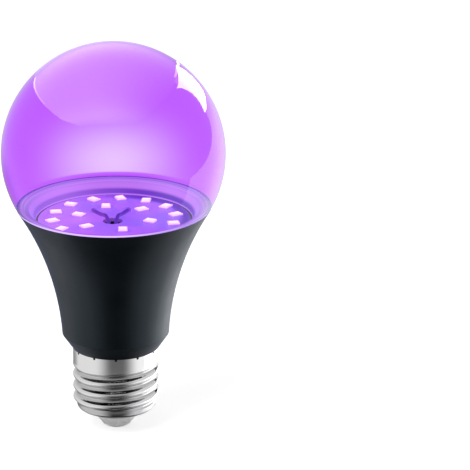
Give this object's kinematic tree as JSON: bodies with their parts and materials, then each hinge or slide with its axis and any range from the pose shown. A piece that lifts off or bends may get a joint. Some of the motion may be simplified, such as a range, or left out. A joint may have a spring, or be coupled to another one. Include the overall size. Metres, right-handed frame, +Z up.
{
  "type": "screw-in violet led lamp",
  "caption": "Violet LED lamp with a clear tinted globe over a lit board, a flared black housing and a ribbed screw cap.",
  "frame": {"origin": "middle of the centre contact's flat face, the lowest point of the lamp held cap down", "axes": "+Z up the lamp's axis from the cap to the globe; +X to the right and +Y away from the viewer of the picture"},
  "size_m": [0.067, 0.067, 0.12],
  "materials": {
    "tinted_globe": "clear violet-tinted moulded plastic, polished",
    "black_housing": "black moulded plastic, satin",
    "liner_metal": "drawn aluminium, dull",
    "board_white": "white solder mask on a metal-core board",
    "led_window": "lit violet LED package",
    "wire_red": "PVC wire insulation",
    "wire_black": "PVC wire insulation",
    "wire_white": "PVC wire insulation",
    "solder": "tin solder",
    "circuit_board": "paper laminate circuit board",
    "capacitor_sleeve": "shrink sleeve over an aluminium can",
    "choke_winding": "enamelled copper on a ferrite drum",
    "film_box": "moulded box",
    "package_black": "moulded epoxy",
    "resistor_coat": "lacquered ceramic",
    "nickel_plate": "nickel-plated rolled brass",
    "insulator_white": "pale moulded insulator",
    "contact_plate": "nickel-plated brass contact"
  },
  "bodies": {
    "root": {"globe": "tinted_globe", "housing": "black_housing", "heat_sink": "liner_metal", "led_board": "board_white", "dc_lead_positive": "wire_red", "dc_lead_negative": "wire_black", "live_lead": "wire_white", "neutral_lead": "wire_black", "solder_joints": "solder", "driver_board": "circuit_board", "electrolytic_capacitor": "capacitor_sleeve", "inductor": "choke_winding", "film_capacitor": "film_box", "rectifier": "package_black", "driver_chip": "package_black", "fusible_resistor": "resistor_coat", "screw_shell": "nickel_plate", "insulator": "insulator_white", "centre_contact": "contact_plate", "led_01": "led_window", "led_02": "led_window", "led_03": "led_window", "led_04": "led_window", "led_05": "led_window", "led_06": "led_window", "led_07": "led_window", "led_08": "led_window", "led_09": "led_window", "led_10": "led_window", "led_11": "led_window", "led_12": "led_window", "led_13": "led_window", "led_14": "led_window", "led_15": "led_window", "led_16": "led_window"}
  },
  "joints": []
}
